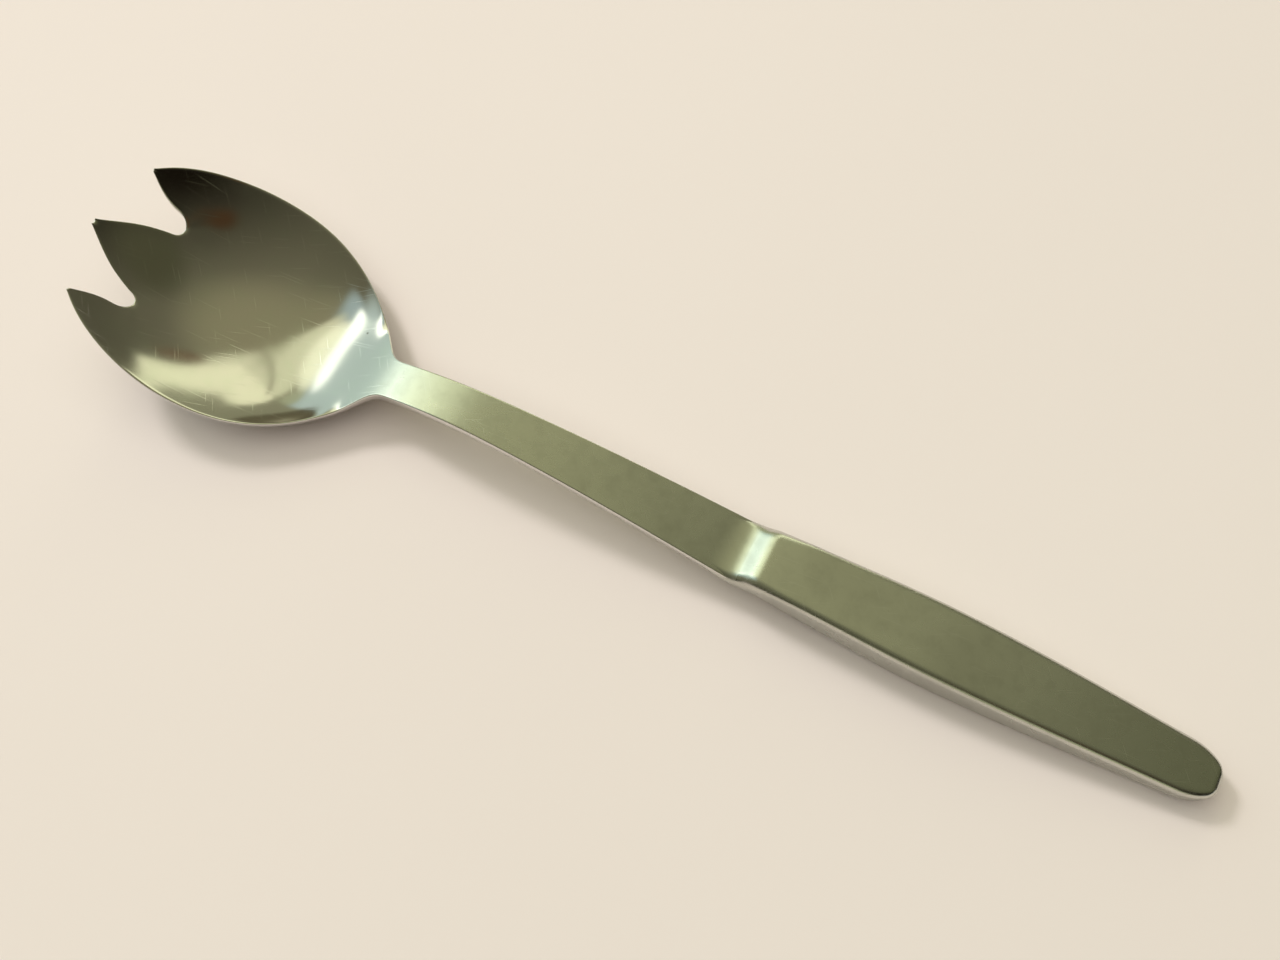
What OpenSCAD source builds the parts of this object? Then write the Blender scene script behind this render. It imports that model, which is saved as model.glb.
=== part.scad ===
// A stainless table spork, lying the way it rests on a table.
// The head is one pressed piece: a bowl with three tines, a neck, a flat stem and a hidden tang.
// The handle is hollow: two pressed shells brazed together round the tang, which sits in cement.
// Lengths are in millimetres. X runs from the tines to the handle's end, Y runs across, Z is up.

/* [Bowl] */
// Length from the middle tine's tip to the neck
bowl_len = 54; // [48:0.5:62]
// Width across the rim
bowl_w = 40.4; // [34:0.1:46]
// Distance from the tip to the widest place of the rim
widest_x = 24.5; // [21:0.5:28]
// Distance from the tip to the deepest section
deep_x = 18; // [14:0.5:22]
// Height of the rim over the floor in the deepest section
bowl_depth = 8.7; // [6:0.1:11]
// Distance from the tip to the lowest place of the floor
floor_x = 31; // [27:0.5:35]
// Height of the middle tine's tip over the table
tip_h = 16.4; // [12:0.1:20]
// Climb of the middle tine at its tip, in degrees
tip_angle = 50; // [40:1:56]
// How far the oval outline would run on ahead of the tines
nose_over = 2; // [1:0.1:3]
// How far the outline of the bowl's heel would run on into the stem
heel_over = 2.5; // [1:0.1:4]
// Thickness of the metal in the floor
floor_t = 1.5; // [1.2:0.1:2]
// Thickness of the metal along the rim and at the tines
rim_t = 1; // [0.8:0.1:1.3]

/* [Tines] */
// Length of the middle tine, from its tip to the roots of the notches
tine_len = 10; // [8:0.1:12]
// Width of a notch at its round root
notch_w = 3.5; // [2.5:0.1:4.5]
// Distance of a notch's middle from the centre line
notch_y = 8; // [7:0.1:9]
// Half of the blunt end of the middle tine
tip_half = 0.5; // [0.2:0.1:0.8]
// How far the tips of the side tines stand behind the middle one
side_tip_x = 3.8; // [2.5:0.1:5]
// Distance of a side tine's tip from the centre line
side_tip_y = 12.3; // [11:0.1:13]

/* [Stem] */
// Length of the stem, from the neck to the mouth of the handle
stem_len = 67; // [55:0.5:80]
// Width of the stem behind the neck
neck_w = 7.1; // [5:0.1:8]
// Width of the stem at the mouth of the handle
stem_w = 10.7; // [9:0.1:12]
// Thickness of the stem
stem_t = 1.9; // [1.4:0.1:2.4]
// Height of the stem's top at the neck
neck_h = 7.6; // [6:0.1:9]
// Climb of the stem at the neck, in degrees
neck_angle = 19; // [16:1:27]
// Distance from the neck to the crest of the stem
crest_run = 21; // [16:0.5:26]
// Height of the crest over the table
crest_h = 11.7; // [10.5:0.1:14]
// Height of the stem's top at the mouth of the handle
mouth_h = 5.8; // [5.2:0.1:6.6]
// Fall of the stem at the mouth of the handle, in degrees
mouth_angle = 11; // [5:1:16]
// Length over which the rim eases into the stem at the neck
neck_ease = 2; // [1:0.1:4]
// Length of the flat neck ahead of the stem
neck_flat = 4.7; // [3:0.1:8]

/* [Handle] */
// Length of the handle, from its mouth to its end
handle_len = 79.3; // [70:0.1:95]
// Greatest width of the handle
handle_w = 12.2; // [11.4:0.1:14.5]
// Distance from the mouth to the widest place
handle_widest = 32.5; // [25:0.5:45]
// Width that the handle tapers to at its end
end_w = 8.6; // [7:0.1:10]
// Height of the handle's top behind the step
handle_h = 8.9; // [8.4:0.1:11]
// Height of the handle's top at its end
end_h = 4.7; // [4.3:0.1:6]
// Fall of the handle's top at its end, in degrees
end_angle = 6; // [3:1:9]
// Length of the step from the stem up to the handle's top
step_len = 5.6; // [4:0.1:8]
// Climb of the step at the mouth, in degrees
step_angle = 24; // [20:1:32]
// Fall of the handle's underside at the mouth, in degrees
prow_angle = 10; // [4:1:13]
// Distance from the mouth to the flat that the handle rests on
rest_start = 33; // [26:0.5:42]
// Length of the flat that the handle rests on
rest_len = 22; // [14:0.5:30]
// Lift of the handle's underside at its end
tail_lift = 0.6; // [0.2:0.1:1]
// Radius of the handle's long edges
edge_r = 1.3; // [0.8:0.1:1.6]
// Length of the round corners at the handle's end
end_r = 6.2; // [4:0.1:8]
// Wall of the handle's shells
wall = 0.8; // [0.6:0.05:1]

/* [Joints] */
// Length of the tang inside the handle
tang_len = 32; // [20:0.5:40]
// Step from the stem's faces down to the tang
tang_relief = 0.15; // [0.1:0.05:0.25]
// Bond line between the tang, the cement and the shells
bond_gap = 0.1; // [0.05:0.01:0.15]
// Thickness of the brazed seam between the shells
seam_t = 0.2; // [0.1:0.05:0.3]
// Height of the upper shell's lip over the stem at the mouth
top_lip = 1.55; // [1:0.05:2]
// Depth of the lower shell's lip under the stem at the mouth
under_lip = 0.15; // [0.1:0.05:0.6]
// How far the shells' lips stand out beside the stem
side_lip = 0.1; // [0.05:0.05:0.3]
// Length of the braze fillet in front of the lips
fillet_len = 4; // [2.5:0.1:6]

/* [Hidden] */

// Shape of the curves
section_power = 2.1;
heel_section_power = 4;
heel_power = 2.25;
nose_power = 3;
sink_power = 1.73;
tine_power = 1.5;
heel_run_share = 0.6304;
heel_rise_share = 0.41;
heel_slope_share = 1.118;
nose_drop_share = 0.9;
end_flat_share = 0.25;
end_room_share = 1.5;
stem_spread_share = 0.03;
handle_spread_share = -0.03;
corner_share = 0.8;
fillet_mid_share = 0.4;
fillet_rise_share = 0.25;
cap_share = 0.9;

// Places along the spork, from the middle tine's tip
heel_x = floor_x + (bowl_len - floor_x) * heel_run_share;
flat_x = bowl_len - neck_flat;
crest_x = bowl_len + crest_run;
mouth_x = bowl_len + stem_len;
fillet_x = mouth_x - fillet_len;
step_x = mouth_x + step_len;
rest_x = mouth_x + rest_start;
tail_x = rest_x + rest_len;
overall_len = mouth_x + handle_len;
tang_end_x = mouth_x + tang_len;

// The heel, where the bowl's floor turns up to the neck
heel_h = floor_t + (neck_h - floor_t) * heel_rise_share;
heel_slope = tan(neck_angle) * heel_slope_share;

// The notch's root
notch_r = notch_w / 2;
root_x = tine_len - notch_r;

// Sections at the mouth of the handle
stem_rise = stem_t / cos(mouth_angle);
mouth_mid = mouth_h - stem_rise / 2;
mouth_top = mouth_h + top_lip;
mouth_under = mouth_h - stem_rise - under_lip;
mouth_half = stem_w / 2 + side_lip;
tang_half = min([for (x = [mouth_x : tang_end_x]) handle_half(x)]) - wall - 4 * bond_gap;
tang_t = stem_t - 2 * tang_relief;

// Steps along and across the pieces
bowl_steps = 30;
stem_steps = 20;
handle_steps = 26;
end_steps = 8;
half_steps = 6;
flank_steps = 9;
root_steps = 10;
edge_angles = [75, 40];
corner_angles = [0, 30, 60, 90];
flat_shares = [-0.5, 0, 0.5];
slope_reach = bowl_len / 500;
overrun = rim_t;

head_colour = [0.68, 0.68, 0.63];
shell_colour = [0.58, 0.59, 0.54];
braze_colour = [0.78, 0.74, 0.62];
cement_colour = [0.45, 0.42, 0.38];

// A smooth curve between two places with given heights and slopes
function ease(x, xa, za, slope_a, xb, zb, slope_b) =
    let (run = xb - xa, u = (x - xa) / run)
    za + (zb - za) * u * u * (3 - 2 * u)
    + run * u * (1 - u) * (slope_a * (1 - u) - slope_b * u);

// The larger of two values, eased where they meet
function eased_max(a, b, reach) = max(a, b) + pow(max(reach - abs(a - b), 0), 2) / (4 * reach);

function backwards(list) = [for (i = [len(list) - 1 : -1 : 0]) list[i]];

// Height of the head's top face along the centre line
function centre_z(x) =
    x < floor_x ? ease(x, 0, tip_h, -tan(tip_angle), floor_x, floor_t, 0)
    : x < heel_x ? ease(x, floor_x, floor_t, 0, heel_x, heel_h, heel_slope)
    : x < bowl_len ? ease(x, heel_x, heel_h, heel_slope, bowl_len, neck_h, tan(neck_angle))
    : x < crest_x ? ease(x, bowl_len, neck_h, tan(neck_angle), crest_x, crest_h, 0)
    : ease(x, crest_x, crest_h, 0, mouth_x, mouth_h, -tan(mouth_angle));

// Height of the rim over the centre line
function rim_rise(x) =
    x < deep_x ? bowl_depth * (1 - nose_drop_share * pow((deep_x - x) / deep_x, nose_power))
    : x < flat_x ? bowl_depth * (1 - pow((x - deep_x) / (flat_x - deep_x), sink_power))
    : 0;

function bowl_half(x) =
    x < widest_x ? bowl_w / 2 * sqrt(1 - pow((widest_x - x) / (widest_x + nose_over), 2))
    : bowl_w / 2 * (1 - pow((x - widest_x) / (bowl_len - widest_x + heel_over), heel_power));

function stem_half(x) =
    x < bowl_len ? neck_w / 2
    : ease(x, bowl_len, neck_w / 2, 0, mouth_x, stem_w / 2, stem_spread_share);

function head_half(x) = eased_max(bowl_half(x), stem_half(x), neck_ease);

// The sections are flatter in the middle towards the heel
function section_bend(x) =
    let (u = min(max((x - floor_x) / (heel_x - floor_x), 0), 1))
    section_power + (heel_section_power - section_power) * u * u * (3 - 2 * u);

function top_z(x, y) = centre_z(x) + rim_rise(x) * pow(abs(y) / head_half(x), section_bend(x));

// Thickness of the metal, on the centre line and at the edge
function middle_t(x) =
    x < floor_x ? rim_t + (floor_t - rim_t) * x / floor_x
    : x < bowl_len ? floor_t + (stem_t - floor_t) * pow((x - floor_x) / (bowl_len - floor_x), 2)
    : stem_t;

function edge_t(x) =
    x < flat_x ? rim_t
    : x < bowl_len ? rim_t + (stem_t - rim_t) * (x - flat_x) / neck_flat
    : stem_t;

// Thickness measured straight down, where the metal slopes
function drop_t(x, y) =
    let (
        across = pow(y / head_half(x), 2),
        t = middle_t(x) * (1 - across) + edge_t(x) * across,
        along_slope = (top_z(x + slope_reach, y) - top_z(x, y)) / slope_reach,
        side_slope = (top_z(x, abs(y)) - top_z(x, abs(y) - slope_reach)) / slope_reach
    )
    t * sqrt(1 + pow(along_slope, 2) + pow(side_slope, 2));

// One half of a flat section with round edges, as places across and shares of the half thickness
function flat_path(half, r) = concat(
    [for (a = edge_angles) [-(half - r + r * sin(a)), cos(a)]],
    [for (i = [-half_steps : half_steps]) [(half - r) * i / half_steps, 1]],
    [for (a = backwards(edge_angles)) [half - r + r * sin(a), cos(a)]]
);

// Section through the head
function head_ring(x) =
    let (path = flat_path(head_half(x), edge_t(x) / 2))
    concat(
        [for (p = path) [x, p[0], top_z(x, p[0]) - drop_t(x, p[0]) / 2 * (1 - p[1])]],
        [for (p = backwards(path)) [x, p[0], top_z(x, p[0]) - drop_t(x, p[0]) / 2 * (1 + p[1])]]
    );

// Section through the tang
function tang_ring(x) =
    let (
        rise = tang_t / 2,
        path = flat_path(tang_half, rise)
    )
    concat(
        [for (p = path) [x, p[0], spine_z(x) + rise * p[1]]],
        [for (p = backwards(path)) [x, p[0], spine_z(x) - rise * p[1]]]
    );

// Outline of the handle, seen from the side and from above
function round_in(x, r) =
    let (u = max(x - (overall_len - r), 0) / r)
    r * (1 - sqrt(max(1 - u * u, 0)));

function crown_z(x) =
    x < step_x ? ease(x, mouth_x, mouth_top, tan(step_angle), step_x, handle_h, 0)
    : ease(x, step_x, handle_h, 0, overall_len, end_h, -tan(end_angle)) - round_in(x, edge_r);

function under_z(x) =
    x < rest_x ? ease(x, mouth_x, mouth_under, -tan(prow_angle), rest_x, 0, 0)
    : tail_lift * pow(max(x - tail_x, 0) / (overall_len - tail_x), 2) + round_in(x, edge_r);

// Height of the tang and the seam: from the middle of the stem into the middle of the handle
function half_z(x) = (crown_z(x) + under_z(x)) / 2;

function spine_z(x) =
    x < step_x ? ease(x, mouth_x, mouth_mid, -tan(mouth_angle), step_x, half_z(step_x), 0)
    : half_z(x);

function handle_half(x) =
    let (widest = mouth_x + handle_widest)
    (x < widest
        ? ease(x, mouth_x, mouth_half, handle_spread_share, widest, handle_w / 2, 0)
        : ease(x, widest, handle_w / 2, 0, overall_len, end_w / 2, (end_w - handle_w) / 2 / (overall_len - widest)))
    * (1 - (1 - end_flat_share) * round_in(x, end_r) / end_r);

// Sections are closer together where the handle's end turns round
handle_xs = concat(
    [for (i = [0 : handle_steps - 1]) mouth_x + (handle_len - end_r) * i / handle_steps],
    [for (i = [0 : end_steps]) overall_len - end_r + end_r * sin(90 * i / end_steps)]
);

// Half of the handle's section: a flat face with round corners
function arch(half, rise, r) =
    let (c = min(r, rise * corner_share, half * corner_share))
    concat(
        [for (a = corner_angles) [-half + c - c * cos(a), rise - c + c * sin(a)]],
        [for (s = flat_shares) [(half - c) * s, rise]],
        [for (a = backwards(corner_angles)) [half - c + c * cos(a), rise - c + c * sin(a)]]
    );

// The same with straight sides down to the seam
function wall_arch(half, rise, r) = concat(
    [[-half, seam_t / 2]],
    arch(half, rise, r),
    [[half, seam_t / 2]]
);

// As many points as an arch has, along a straight line across the seam
function seam_line(half) =
    let (last = len(wall_arch(half, half, half)) - 1)
    [for (i = [0 : last]) [half * cap_share * (2 * i / last - 1), seam_t / 2]];

// Place of a section on the inside of the shells
function inner_x(x, inset) = mouth_x + (x - mouth_x) * (handle_len - inset) / handle_len;

// Height of a shell over the seam; side is 1 for the upper shell and -1 for the lower one
function outer_rise(x, side) = side > 0 ? crown_z(x) - spine_z(x) : spine_z(x) - under_z(x);

function inner_rise(x, side) = max(outer_rise(x, side) - wall, tang_t / 2 + bond_gap);

function inner_half(x) = max(handle_half(x) - wall, wall * end_room_share);

inner_r = max(edge_r - wall, wall);

// A shell's section from its outer and inner paths
function shell_ring(x, side, outer, inner) = concat(
    [for (p = outer) [x, side * p[0], spine_z(x) + side * p[1]]],
    [for (p = backwards(inner)) [inner_x(x, wall), side * p[0], spine_z(x) + side * p[1]]]
);

function wall_ring(x, side) = shell_ring(
    x,
    side,
    wall_arch(handle_half(x), outer_rise(x, side), edge_r),
    wall_arch(inner_half(x), inner_rise(x, side), inner_r)
);

// The shell's end wall closes down to the seam
function end_ring(x, side) = shell_ring(x, side, seam_line(handle_half(x)), seam_line(inner_half(x)));

// Section through the cement that fills the shells
function cement_arch(x, side) = arch(inner_half(x) - bond_gap, inner_rise(x, side) - bond_gap, inner_r);

function cement_ring(x) =
    let (place = inner_x(x, wall + bond_gap))
    concat(
        [for (p = cement_arch(x, 1)) [place, p[0], spine_z(x) + p[1]]],
        [for (p = backwards(cement_arch(x, -1))) [place, p[0], spine_z(x) - p[1]]]
    );

// The same section shape as the cement's, drawn in to the tang's pocket
function pocket_ring(x) =
    let (
        rise = tang_t / 2 + bond_gap,
        path = arch(tang_half + bond_gap, rise, rise)
    )
    concat(
        [for (p = path) [x, p[0], spine_z(x) + p[1]]],
        [for (p = backwards(path)) [x, p[0], spine_z(x) - p[1]]]
    );

// A solid skinned over sections that have the same number of points each.
// Each patch is split along its shorter diagonal, so that pieces which touch share their faces.
module loft(rings, closed = false) {
    points = [for (ring = rings) each ring];
    count = len(rings[0]);
    last = len(rings) - 1;
    half = count / 2;
    skin = [
        for (i = [0 : closed ? last : last - 1], j = [0 : count - 1])
            let (
                a = i * count,
                b = (i == last ? 0 : i + 1) * count,
                k = (j + 1) % count,
                forward = norm(points[a + j] - points[b + k]) <= norm(points[a + k] - points[b + j])
            )
            each forward
                ? [[a + j, b + k, b + j], [a + j, a + k, b + k]]
                : [[a + j, a + k, b + j], [a + k, b + k, b + j]]
    ];
    ends = closed ? [] : [
        for (i = [0, last], j = [0 : half - 2])
            let (
                a = i * count + j,
                b = i * count + count - 1 - j,
                quad = i == 0 ? [b, b - 1, a + 1, a] : [a, a + 1, b - 1, b]
            )
            each [[quad[0], quad[1], quad[2]], [quad[0], quad[2], quad[3]]]
    ];
    polyhedron(points = points, faces = concat(skin, ends));
}

module placed() {
    translate([-overall_len / 2, 0, 0])
        children();
}

// The gap between the middle tine and a side tine, open to the front
module notch() {
    inner_y = notch_y - notch_r;
    outer_y = notch_y + notch_r;
    middle_flank = [
        for (i = [0 : flank_steps - 1])
            let (share = i / flank_steps)
            [root_x * share, tip_half + (inner_y - tip_half) * (1 - pow(1 - share, tine_power))]
    ];
    root = [
        for (i = [0 : root_steps])
            let (a = -90 + 180 * i / root_steps)
            [root_x + notch_r * cos(a), notch_y + notch_r * sin(a)]
    ];
    side_flank = [
        for (i = [1 : flank_steps])
            let (share = i / flank_steps * (root_x + overrun) / (root_x - side_tip_x))
            [root_x - (root_x - side_tip_x) * share, outer_y + (side_tip_y - outer_y) * pow(share, 2)]
    ];
    translate([0, 0, -overrun])
        linear_extrude(height = tip_h + bowl_depth + overrun)
            polygon(concat([[-overrun, tip_half]], middle_flank, root, side_flank));
}

module spork_head() {
    bowl_xs = [for (i = [0 : bowl_steps]) bowl_len * i / bowl_steps];
    stem_xs = [for (i = [1 : stem_steps]) bowl_len + (stem_len - fillet_len) * i / stem_steps];
    tang_xs = [for (x = handle_xs) if (x < tang_end_x) x];
    color(head_colour)
        placed()
            difference() {
                loft(concat(
                    [for (x = concat(bowl_xs, stem_xs, [mouth_x])) head_ring(x)],
                    [for (x = concat(tang_xs, [tang_end_x])) tang_ring(x)]
                ));
                notch();
                mirror([0, 1, 0])
                    notch();
            }
}

module shell(side) {
    color(shell_colour)
        placed()
            loft(concat([for (x = handle_xs) wall_ring(x, side)], [end_ring(overall_len, side)]));
}

module upper_shell() {
    shell(1);
}

module lower_shell() {
    shell(-1);
}

// The braze follows the shells' edges from the mouth round the end and back
module shell_seam() {
    rail = [for (x = handle_xs) [x, handle_half(x), inner_x(x, wall), inner_half(x)]];
    route = concat(
        [for (p = rail) [p, 1]],
        [for (p = backwards(rail)) [p, -1]]
    );
    color(braze_colour)
        placed()
            loft([
                for (r = route)
                    let (p = r[0], z = spine_z(p[0]), h = seam_t / 2)
                    [
                        [p[0], r[1] * p[1], z - h],
                        [p[2], r[1] * p[3], z - h],
                        [p[2], r[1] * p[3], z + h],
                        [p[0], r[1] * p[1], z + h]
                    ]
            ]);
}

// The fillet runs round the stem, in front of the shells' lips
module mouth_fillet() {
    mid_x = fillet_x + fillet_len * fillet_mid_share;
    stem_ring = head_ring(mouth_x);
    swell = [
        for (p = stem_ring)
            [p[0], p[1] * mouth_half / (stem_w / 2), p[2] > mouth_mid ? p[2] + top_lip : p[2] - under_lip]
    ];
    early_ring = head_ring(fillet_x);
    mid_ring = [
        for (i = [0 : len(stem_ring) - 1])
            let (
                on_stem = early_ring[i] + (stem_ring[i] - early_ring[i]) * fillet_mid_share,
                raised = swell[i] - stem_ring[i]
            )
            on_stem + raised * fillet_rise_share
    ];
    color(braze_colour)
        placed()
            loft([early_ring, mid_ring, swell, stem_ring], closed = true);
}

// The cement fills the shells behind the step, with a pocket for the tang
module tang_cement() {
    pocket_xs = [for (x = handle_xs) if (x >= step_x && x < tang_end_x) x];
    fill_xs = [for (x = handle_xs) if (x >= step_x) x];
    color(cement_colour)
        placed()
            loft(concat(
                [for (x = concat([tang_end_x + bond_gap], backwards(pocket_xs))) pocket_ring(x)],
                [for (x = fill_xs) cement_ring(x)]
            ));
}

spork_head();
upper_shell();
lower_shell();
shell_seam();
mouth_fillet();
tang_cement();
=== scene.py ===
"""Dresses the spork: smooth pressed steel, a worn satin finish, a pale floor, soft light and a camera."""

import logging
import math
from dataclasses import dataclass
from enum import Enum
from typing import Any, Callable, Iterator, Optional, Union

import bmesh
import bpy
from mathutils import Matrix, Vector


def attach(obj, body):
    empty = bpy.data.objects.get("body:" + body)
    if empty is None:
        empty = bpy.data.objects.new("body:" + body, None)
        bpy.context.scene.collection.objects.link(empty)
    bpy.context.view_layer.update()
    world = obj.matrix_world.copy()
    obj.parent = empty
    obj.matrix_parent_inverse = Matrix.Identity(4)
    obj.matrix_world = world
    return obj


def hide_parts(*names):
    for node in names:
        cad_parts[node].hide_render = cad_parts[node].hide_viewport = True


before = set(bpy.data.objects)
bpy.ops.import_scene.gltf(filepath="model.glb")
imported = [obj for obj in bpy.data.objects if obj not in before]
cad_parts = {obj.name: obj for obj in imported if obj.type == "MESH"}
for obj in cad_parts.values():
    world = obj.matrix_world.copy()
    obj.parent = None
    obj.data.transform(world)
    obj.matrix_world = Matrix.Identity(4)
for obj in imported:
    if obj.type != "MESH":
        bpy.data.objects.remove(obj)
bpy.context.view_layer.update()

LOG = logging.getLogger("spork")
BODY = "root"
MM = 0.001
OVERALL_LEN = 200.3
WORN_HIGHLIGHT_EDGE = "worn_highlight_edge"
NOISE_MEAN = 0.5

Plan = tuple[float, float]
Edge = tuple[Plan, Plan]
Span = tuple[float, float]
Colour = tuple[float, float, float, float]


class Half(Enum):
    """The two pressed halves of the handle."""

    UPPER = 1
    LOWER = -1


class Slot(Enum):
    """Names of three material slots, which nothing in this script uses."""

    HEAD = "head_steel"
    HANDLE = "handle_steel"
    BRAZE = "braze"


# Curves in millimetres


def ease(x: float, xa: float, za: float, slope_a: float, xb: float, zb: float, slope_b: float) -> float:
    """Smooth curve between two points with a slope at each.

    Args:
        x: Where the curve is read.
        xa: Start of the curve, with height za and slope slope_a.
        za: Height at the start.
        slope_a: Slope at the start.
        xb: End of the curve, with height zb and slope slope_b.
        zb: Height at the end.
        slope_b: Slope at the end.

    Returns:
        The height at x.
    """
    run = xb - xa
    u = (x - xa) / run
    return za + (zb - za) * u * u * (3 - 2 * u) + run * u * (1 - u) * (slope_a * (1 - u) - slope_b * u)


def eased_max(a: float, b: float, reach: float) -> float:
    """Larger of two values, with a soft change from one to the other within reach."""
    return max(a, b) + max(reach - abs(a - b), 0.0) ** 2 / (4 * reach)


def share_between(x: float, start: float, end: float) -> float:
    """Share from 0 to 1 of the way that x has gone from start to end."""
    return min(max((x - start) / (end - start), 0.0), 1.0)


def soft_share(x: float, start: float, end: float) -> float:
    """Share from 0 to 1 of the way from start to end, which rises softly at both ends."""
    share = share_between(x, start, end)
    return share * share * (3 - 2 * share)


def slope_of(degrees: float) -> float:
    """Slope of a line that rises at an angle."""
    return math.tan(math.radians(degrees))


def mix(a: float, b: float, share: float) -> float:
    """Value that lies the given share of the way from a to b."""
    return a + (b - a) * share


def mix_plan(a: Plan, b: Plan, share: float) -> Plan:
    """Point that lies the given share of the way from a to b."""
    return mix(a[0], b[0], share), mix(a[1], b[1], share)


def stepped(point: Plan, direction: Plan, distance: float) -> Plan:
    """Point that lies a distance from another in a direction."""
    return point[0] + direction[0] * distance, point[1] + direction[1] * distance


def to_frame(x: float, y: float, z: float) -> Vector:
    """Turns millimetres from the middle tine's tip into the frame's metres."""
    return Vector(((x - OVERALL_LEN / 2) * MM, y * MM, z * MM))


# Sheet metal


def deselect_all() -> None:
    """Leaves edit mode and deselects every object."""
    active = bpy.context.view_layer.objects.active
    if active is not None and active.mode != "OBJECT":
        bpy.ops.object.mode_set(mode="OBJECT")
    bpy.ops.object.select_all(action="DESELECT")


class PressedSheet:
    """A flat grid of metal that is shaped in edit mode and then given its thickness."""

    ROW = "row"
    COLUMN = "column"
    BANK = "bank"
    GRID = (ROW, COLUMN, BANK)
    DROP = 1.0
    LEAST_ASIDE = 0.1
    RELAX_FACTOR = 0.5
    WELD_REACH = 1e-7

    def __init__(self, name: str, rows: int, columns: int) -> None:
        """Lays the flat grid, with its rows along x and its columns along y.

        Args:
            name: Name of the piece.
            rows: Number of faces along x.
            columns: Number of faces along y.
        """
        deselect_all()
        bpy.ops.mesh.primitive_grid_add(x_subdivisions=rows, y_subdivisions=columns, size=1.0)
        self.piece: bpy.types.Object = bpy.context.object
        self.piece.name = self.piece.data.name = name
        bpy.ops.object.mode_set(mode="EDIT")
        bpy.ops.transform.resize(value=(rows, columns, 1.0))
        bpy.ops.transform.translate(value=(rows / 2, columns / 2, 0.0))
        mesh = self.open()
        for layer in self.GRID:
            mesh.verts.layers.int.new(layer)
        mesh.verts.layers.float.new(WORN_HIGHLIGHT_EDGE)
        row, column = mesh.verts.layers.int[self.ROW], mesh.verts.layers.int[self.COLUMN]
        for vert in mesh.verts:
            vert[row], vert[column] = round(vert.co.x), round(vert.co.y)
        self.keep()

    def open(self) -> bmesh.types.BMesh:
        """Gives the mesh that is open in edit mode."""
        return bmesh.from_edit_mesh(self.piece.data)

    def keep(self) -> None:
        """Writes the open mesh back."""
        bmesh.update_edit_mesh(self.piece.data)

    def cells(self, mesh: bmesh.types.BMesh) -> Iterator[tuple[bmesh.types.BMVert, int, int, int]]:
        """Goes through the vertices of the open mesh.

        Args:
            mesh: The open mesh.

        Returns:
            Each vertex in turn, with its row, its column and the bank of a cut that it lies on.
        """
        layers = [mesh.verts.layers.int[name] for name in self.GRID]
        for vert in mesh.verts:
            yield (vert, *(vert[layer] for layer in layers))

    def slit(self, columns: tuple[int, ...], end_row: int) -> None:
        """Cuts the sheet open along columns, from its first row to a row.

        Args:
            columns: Columns that are cut.
            end_row: Row where each cut ends.
        """
        bpy.ops.mesh.select_mode(type="EDGE")
        bpy.ops.mesh.select_all(action="DESELECT")
        mesh = self.open()
        row, column = mesh.verts.layers.int[self.ROW], mesh.verts.layers.int[self.COLUMN]
        for edge in mesh.edges:
            a, b = edge.verts
            if a[column] == b[column] and a[column] in columns and max(a[row], b[row]) <= end_row:
                edge.select_set(True)
        self.keep()
        bpy.ops.mesh.edge_split(type="EDGE")
        mesh = self.open()
        bank = mesh.verts.layers.int[self.BANK]
        for vert, _, at_column, _ in self.cells(mesh):
            if at_column in columns:
                middles = [face.calc_center_median().y for face in vert.link_faces]
                aside = sum(middles) / len(middles) - vert.co.y
                vert[bank] = round(math.copysign(1, aside)) if abs(aside) > self.LEAST_ASIDE else 0
        self.keep()
        bpy.ops.mesh.select_mode(type="VERT")

    def place(self, spot: Callable[[int, int, int], Vector]) -> None:
        """Moves every vertex of the sheet to its place.

        Args:
            spot: Gives a place from a row, a column and the bank of a cut.
        """
        for vert, row, column, bank in self.cells(self.open()):
            vert.co = spot(row, column, bank)
        self.keep()

    def relax(self, free: Callable[[int, int], bool], repeat: int) -> None:
        """Evens out the vertices that may move, within the plane of the sheet.

        Args:
            free: Says whether the vertex at a row and column may move.
            repeat: Number of times.
        """
        bpy.ops.mesh.select_all(action="DESELECT")
        mesh = self.open()
        for vert, row, column, _ in self.cells(mesh):
            vert.select_set(free(row, column))
        mesh.select_flush_mode()
        self.keep()
        bpy.ops.mesh.vertices_smooth(factor=self.RELAX_FACTOR, repeat=repeat, zaxis=False)

    def wear(self, amount: Callable[[int, int], float]) -> None:
        """Writes how worn each vertex is, from 0 to 1, which also sets where the steel paints a highlight.

        Args:
            amount: Gives the wear at a row and column.
        """
        mesh = self.open()
        worn = mesh.verts.layers.float[WORN_HIGHLIGHT_EDGE]
        for vert, row, column, _ in self.cells(mesh):
            vert[worn] = amount(row, column)
        self.keep()

    def lift(self, height: Callable[[Vector], float]) -> None:
        """Lifts every vertex to the height of the surface above its place.

        Args:
            height: Gives the height above a place.
        """
        mesh = self.open()
        for vert in mesh.verts:
            vert.co.z = height(vert.co)
        self.keep()

    def weld(self) -> None:
        """Merges the vertices that lie on each other."""
        bpy.ops.mesh.select_all(action="SELECT")
        bpy.ops.mesh.remove_doubles(threshold=self.WELD_REACH)

    def thicken(self, other_face: Callable[[int, int, Vector], Vector]) -> None:
        """Extrudes the sheet, and moves the new face to its place.

        Args:
            other_face: Gives the place of the new face from a row, a column and the place on the first face.
        """
        bpy.ops.mesh.select_all(action="SELECT")
        bpy.ops.mesh.extrude_region_move(TRANSFORM_OT_translate={"value": (0.0, 0.0, -self.DROP)})
        for vert, row, column, _ in self.cells(self.open()):
            if vert.co.z < -self.DROP / 2:
                above = vert.co + Vector((0.0, 0.0, self.DROP))
                vert.co = other_face(row, column, above)
        self.keep()

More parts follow.
